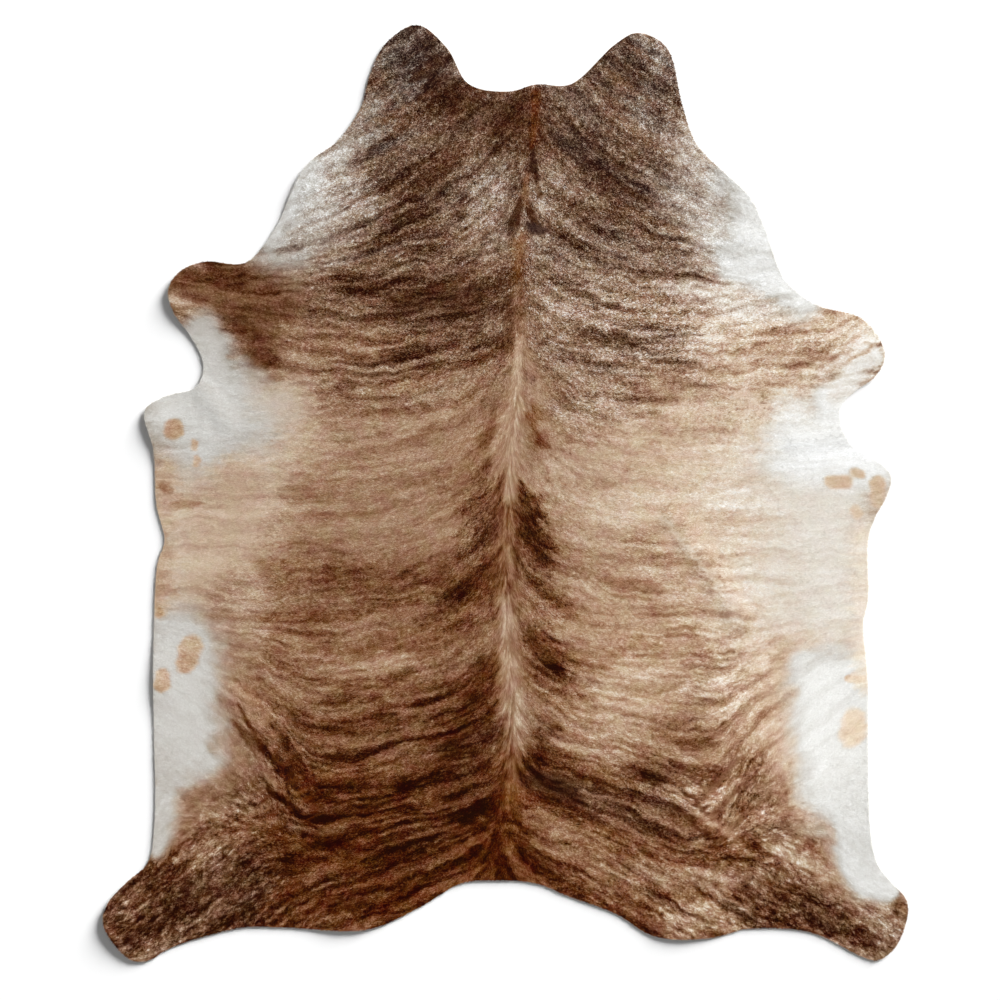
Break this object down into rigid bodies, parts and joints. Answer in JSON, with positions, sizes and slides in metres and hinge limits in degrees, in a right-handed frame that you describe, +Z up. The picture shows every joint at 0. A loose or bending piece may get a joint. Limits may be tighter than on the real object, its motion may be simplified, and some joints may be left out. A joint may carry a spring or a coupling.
{
  "type": "cowhide rug",
  "caption": "Whole brindle cowhide laid flat as a rug, hair side up, with neck flaps, forelegs, belly and hind legs in its edge.",
  "frame": {"origin": "on the floor, under the middle of the hide's length and width", "axes": "+Y towards the neck, +X to the right with the neck pointing away and the hair side up, +Z up out of the hair side"},
  "size_m": [1.83, 2.1302, 0.0124],
  "materials": {
    "hide": "short brindle hair on tanned leather"
  },
  "bodies": {
    "root": {"cowhide": "hide"}
  },
  "joints": []
}
